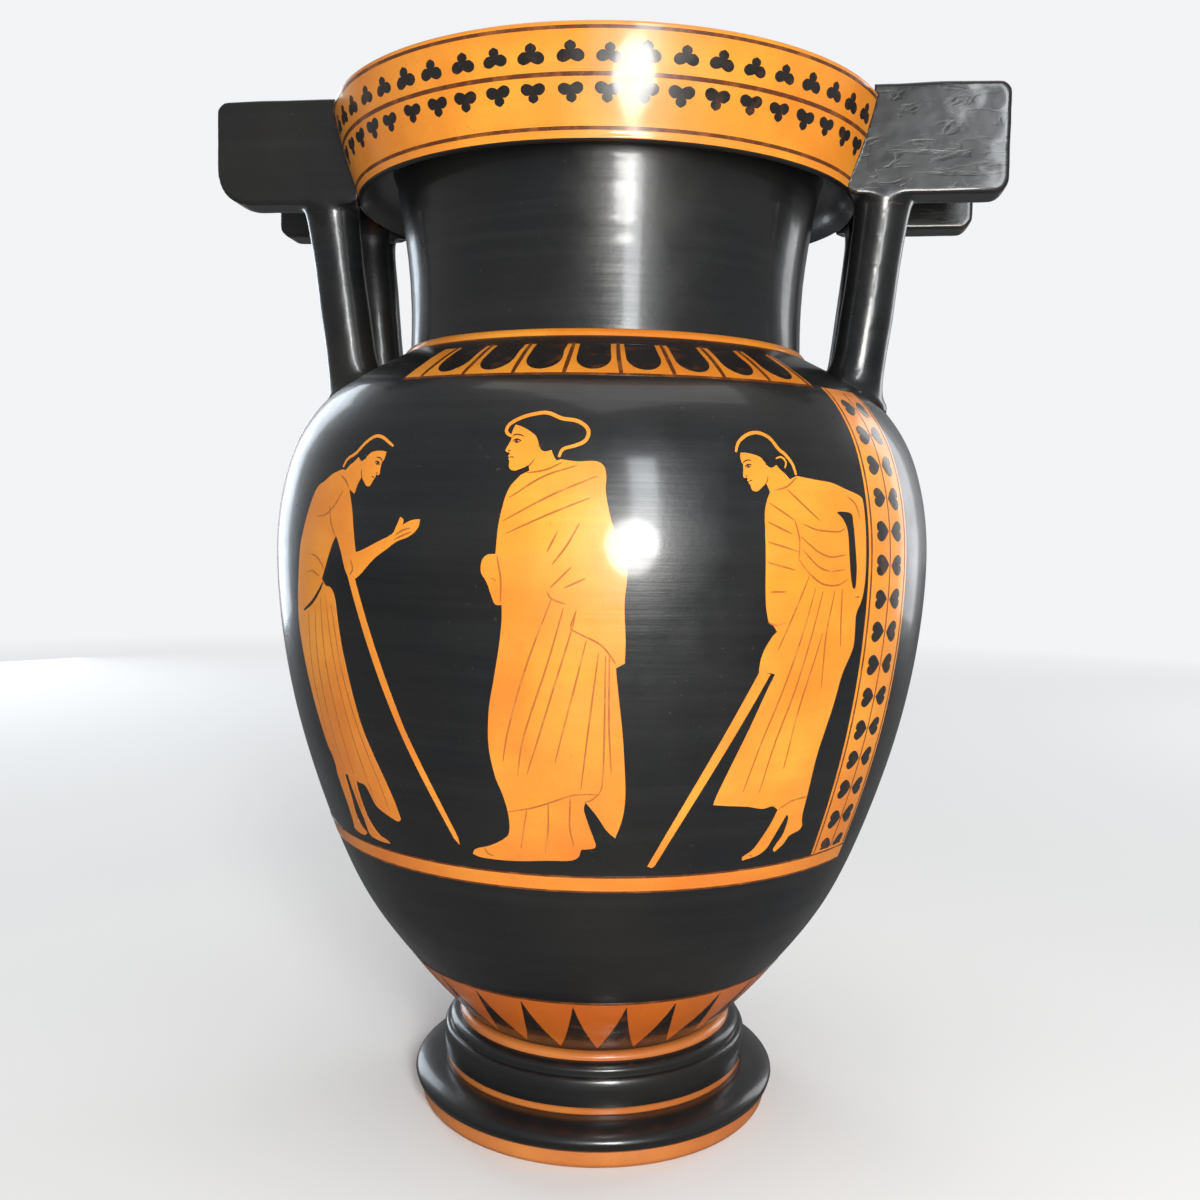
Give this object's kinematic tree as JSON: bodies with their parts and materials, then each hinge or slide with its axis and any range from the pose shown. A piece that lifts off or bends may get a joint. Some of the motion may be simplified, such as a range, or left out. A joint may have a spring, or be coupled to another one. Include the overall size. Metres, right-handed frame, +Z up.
{
  "type": "column krater vase",
  "caption": "Black-glazed column krater with red-figure painting: ovoid bowl, tall neck, overhanging patterned rim, slab-topped column handles and a moulded foot.",
  "frame": {"origin": "centre of the resting ring, on the plane the foot stands on", "axes": "+Z up along the vessel's axis, handles along +X and -X, painted front facing -Y"},
  "size_m": [0.305, 0.2624, 0.4035],
  "materials": {
    "black_gloss": "black gloss slip with a soft blue-grey sheen, reserved red-orange clay where it is painted",
    "red_clay": "burnished orange clay with painted black and brown patterns under a thin clear gloss"
  },
  "bodies": {
    "root": {"foot_disc": "black_gloss", "foot_collar": "black_gloss", "body": "black_gloss", "neck": "black_gloss", "mouth_rim": "red_clay", "column_right_front": "black_gloss", "column_right_rear": "black_gloss", "column_left_front": "black_gloss", "column_left_rear": "black_gloss", "handle_cheek_right_front": "black_gloss", "handle_cheek_right_rear": "black_gloss", "handle_cheek_left_front": "black_gloss", "handle_cheek_left_rear": "black_gloss", "handle_plate_right": "black_gloss", "handle_plate_left": "black_gloss"}
  },
  "joints": []
}
